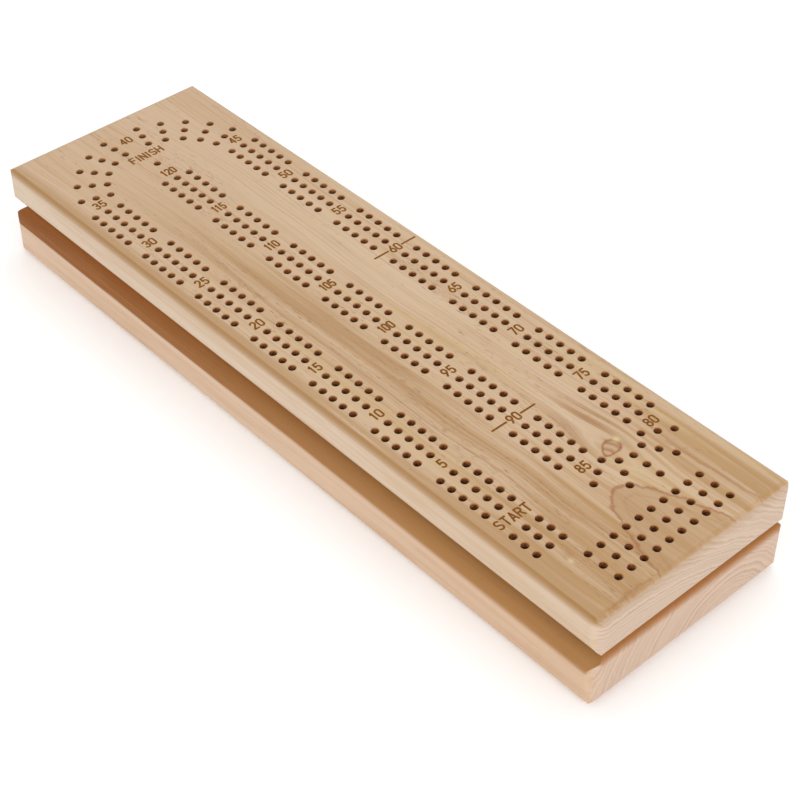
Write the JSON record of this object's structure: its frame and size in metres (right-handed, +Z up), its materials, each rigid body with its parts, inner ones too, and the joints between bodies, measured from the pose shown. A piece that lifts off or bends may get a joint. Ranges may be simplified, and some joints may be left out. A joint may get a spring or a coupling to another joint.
{
  "type": "cribbage board",
  "caption": "Three-track wooden cribbage board with a swivel top over a storage base for card decks and pegs.",
  "frame": {"origin": "centre of the underside of the base board, where the board rests on a table", "axes": "+X along the board towards its START end, +Y across the board to the side of holes 46 to 80, +Z up"},
  "size_m": [0.368, 0.105, 0.0465],
  "materials": {
    "top_wood": "satin",
    "base_wood": "satin",
    "bolt_steel": "satin",
    "brass": "satin",
    "nylon": "matte",
    "washer_steel": "satin",
    "magnet_nickel": "polished",
    "peg_brass": "polished",
    "peg_silver": "polished",
    "peg_black": "satin"
  },
  "bodies": {
    "base": {"base_board": "base_wood", "pivot_bushing": "brass", "thrust_washer": "nylon", "flat_washer": "washer_steel", "spring_washer": "washer_steel", "base_magnet_near": "magnet_nickel", "base_magnet_far": "magnet_nickel", "peg_brass_1": "peg_brass", "peg_brass_2": "peg_brass", "peg_brass_3": "peg_brass", "peg_silver_1": "peg_silver", "peg_silver_2": "peg_silver", "peg_silver_3": "peg_silver", "peg_black_1": "peg_black", "peg_black_2": "peg_black", "peg_black_3": "peg_black"},
    "top": {"top_board": "top_wood", "threaded_insert": "brass", "pivot_bolt": "bolt_steel", "lid_magnet_near": "magnet_nickel", "lid_magnet_far": "magnet_nickel"}
  },
  "joints": [
    {"name": "top_swivel", "type": "hinge", "parent": "base", "child": "top", "pos_m": [0.152, 0, 0.0263], "axis": [0, 0, 1], "continuous": true}
  ]
}
